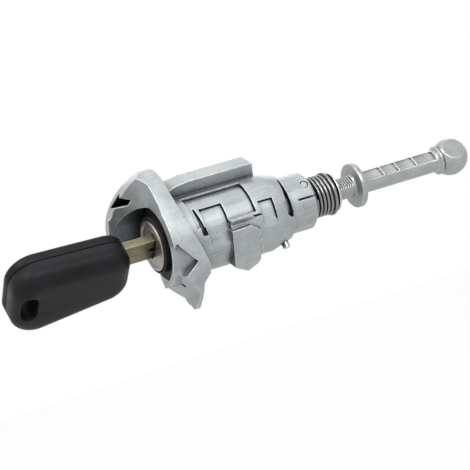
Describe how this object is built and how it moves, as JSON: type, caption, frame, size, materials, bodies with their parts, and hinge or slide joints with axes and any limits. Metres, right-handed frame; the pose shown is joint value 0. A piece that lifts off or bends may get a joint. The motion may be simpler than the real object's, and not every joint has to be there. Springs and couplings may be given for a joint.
{
  "type": "car door lock cylinder",
  "caption": "Die-cast lock cylinder for a car door with leaf-shaped flange, key in its slot, wafer plug, return spring and a collared drive rod that ends in a ball.",
  "frame": {"origin": "on the lock axis where the rear spigot leaves the barrel's shoulder", "axes": "+Y along the lock axis into the door, +Z to the flange's broad upper ear, +X to the side with the panels and the lug"},
  "size_m": [0.0314, 0.1655, 0.0464],
  "materials": {
    "die_cast_zinc": "as-cast zinc, satin and slightly blue grey",
    "seal_rubber": "black moulded rubber",
    "cap_steel": "turned satin stainless steel",
    "plug_zinc": "machined zinc",
    "shutter_steel": "plain steel",
    "wafer_brass": "stamped brass",
    "spring_steel": "dark oiled spring wire",
    "key_brass": "nickel-worn brass blade",
    "key_plastic": "black moulded plastic, fine grain",
    "chip_ceramic": "moulded chip block"
  },
  "bodies": {
    "housing": {"housing": "die_cast_zinc", "face_seal": "seal_rubber", "retaining_clip": "shutter_steel", "neck_pin": "shutter_steel", "stop_pin": "shutter_steel", "return_spring": "spring_steel"},
    "core": {"plug": "plug_zinc", "plug_cap": "cap_steel", "dust_shutter": "shutter_steel", "shutter_pin": "shutter_steel", "wafer_1": "wafer_brass", "wafer_2": "wafer_brass", "wafer_3": "wafer_brass", "wafer_4": "wafer_brass", "wafer_5": "wafer_brass", "wafer_6": "wafer_brass", "wafer_7": "wafer_brass", "wafer_8": "wafer_brass", "wafer_springs": "spring_steel", "drive_hub": "die_cast_zinc", "drive_pin": "shutter_steel", "drive_rod": "die_cast_zinc", "spring_washer": "shutter_steel"},
    "key": {"key_blade": "key_brass", "key_head_front": "key_plastic", "key_head_back": "key_plastic", "transponder": "chip_ceramic"}
  },
  "joints": [
    {"name": "core_turn", "type": "hinge", "parent": "housing", "child": "core", "pos_m": [0, 0, 0], "axis": [0, 1, 0], "range_deg": [-65, 65], "stiffness_Nm_per_rad": 0.12, "deforming": ["return_spring"]},
    {"name": "key_slide", "type": "slide", "parent": "core", "child": "key", "axis": [0, -1, 0], "range_m": [0, 0.032]}
  ]
}
